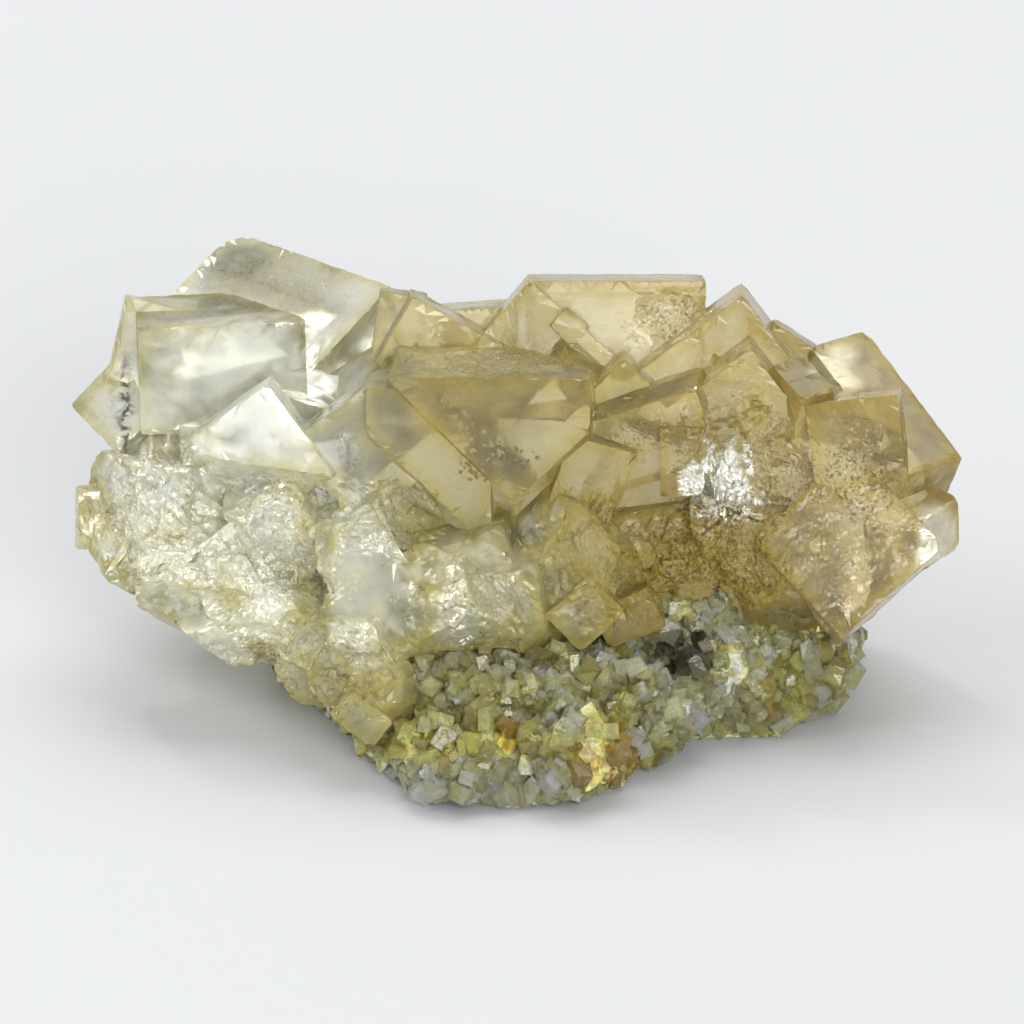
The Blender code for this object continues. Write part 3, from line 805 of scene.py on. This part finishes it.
# Spots for the crystals, spread evenly over the matrix and closer together on crowded ground.
matrix_points, matrix_triangles = triangles_of(settled_body("drusy_matrix"))
corners = matrix_points[matrix_triangles]
spans = np.cross(corners[:, 1] - corners[:, 0], corners[:, 2] - corners[:, 0])
areas = np.linalg.norm(spans, axis=1) / 2
areas *= 1 + patch_share(seen_from_display(corners.mean(axis=1)), CROWDED_GROUND)
lot = np.random.RandomState(5)
chosen = lot.choice(len(areas), CRYSTAL_COUNT, p=areas / areas.sum())
weights = lot.dirichlet((1, 1, 1), CRYSTAL_COUNT)
spots = (corners[chosen] * weights[:, :, None]).sum(axis=1)
smallest, largest = CRYSTAL_HALF
halves = smallest + (largest - smallest) * lot.random_sample(CRYSTAL_COUNT) ** SMALL_CRYSTALS


def in_the_open(spot):
    """Whether a spot lies outside the fluorite."""
    near, outward, _, _ = fluorite_tree.find_nearest(spot)
    return (Vector(spot) - near).dot(outward) >= 0


kept = np.array([in_the_open(spot) for spot in spots])
spots = spots[kept]
halves = halves[kept]

# Each crystal is a box with uneven sides and corners, turned any way and lifted off the table.
turns = np.linalg.qr(lot.normal(size=(len(spots), 3, 3)))[0]
turns *= np.sign(np.linalg.det(turns))[:, None, None]
stretch = lot.uniform(*CRYSTAL_STRETCH, (len(spots), 1, 3))
CUBE = np.array([(x, y, z) for x in (-1, 1) for y in (-1, 1) for z in (-1, 1)])
CUBE_SIDES = np.array([
    (0, 1, 3, 2), (4, 6, 7, 5), (0, 4, 5, 1), (2, 3, 7, 6), (0, 2, 6, 4), (1, 5, 7, 3)])
half_sizes = halves[:, None, None]
boxes = np.einsum("nij,nkj->nki", turns, CUBE[None] * stretch) * half_sizes * MM + spots[:, None]
boxes += lot.normal(size=boxes.shape) * CORNER_SHIFT * half_sizes * MM
boxes[:, :, 2] += np.maximum(FOOT_GAP * MM - boxes[:, :, 2].min(axis=1), 0)[:, None]
sides = CUBE_SIDES[None] + len(CUBE) * np.arange(len(spots))[:, None, None]
druse_crystals = add_piece(
    "druse_crystals", boxes.reshape(-1, 3), sides.reshape(-1, 4), druse.surface(druse_shader))
chance = lot.random_sample((len(spots), 3))
set_colours(druse_crystals, "hue", np.repeat(druse_hues(spots, chance), len(CUBE), axis=0))
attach(druse_crystals, "root")

# The broken rock between and under the crystals, roughened except along its flat foot.
ROCK_MESH = 1.0
ROCK_NOISE = 0.5
ROCK_CHIP = 1.4
ROCK_PATCH = 1.5
FOOT_HEIGHT = (0.2, 2.0)
ROCK_DARK = (0.20, 0.19, 0.13)

rock = Finish("drusy_rock")
rock_grain = rock.noise(rock.place(), scale=1.2, detail=5.0, roughness=0.7)
rock_colour = rock.colour_mix(rock_grain.between(0.35, 0.65) * 0.6, rock.mark("hue"), ROCK_DARK)
rock_bump = rock.node("ShaderNodeBump", None, {
    "Strength": 0.8, "Distance": 0.4 * MM, "Height": rock_grain})
rock_shader = rock.node("ShaderNodeBsdfPrincipled", None, {
    "Base Color": rock_colour, "Roughness": 0.55, "Normal": rock_bump})

matrix_points, matrix_triangles = refine(
    matrix_points, matrix_triangles, lambda middles: np.full(len(middles), ROCK_MESH))
rough = ROCK_NOISE * chips(matrix_points / MM, ROCK_CHIP, seed=60)
rough *= smooth_step(matrix_points[:, 2] / MM, *FOOT_HEIGHT)
rough_points = matrix_points - point_normals(matrix_points, matrix_triangles) * rough[:, None] * MM
matrix_rock = add_piece("matrix_rock", rough_points, matrix_triangles, rock.surface(rock_shader))
rock_chance = scatter(np.floor(matrix_points / (ROCK_PATCH * MM)).astype(np.int64), seed=70)
# The rock takes the druse's colours, painted shade in the hollows and under the fluorite included.
set_colours(matrix_rock, "hue", druse_hues(matrix_points, rock_chance))
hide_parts("drusy_matrix")
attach(matrix_rock, "root")
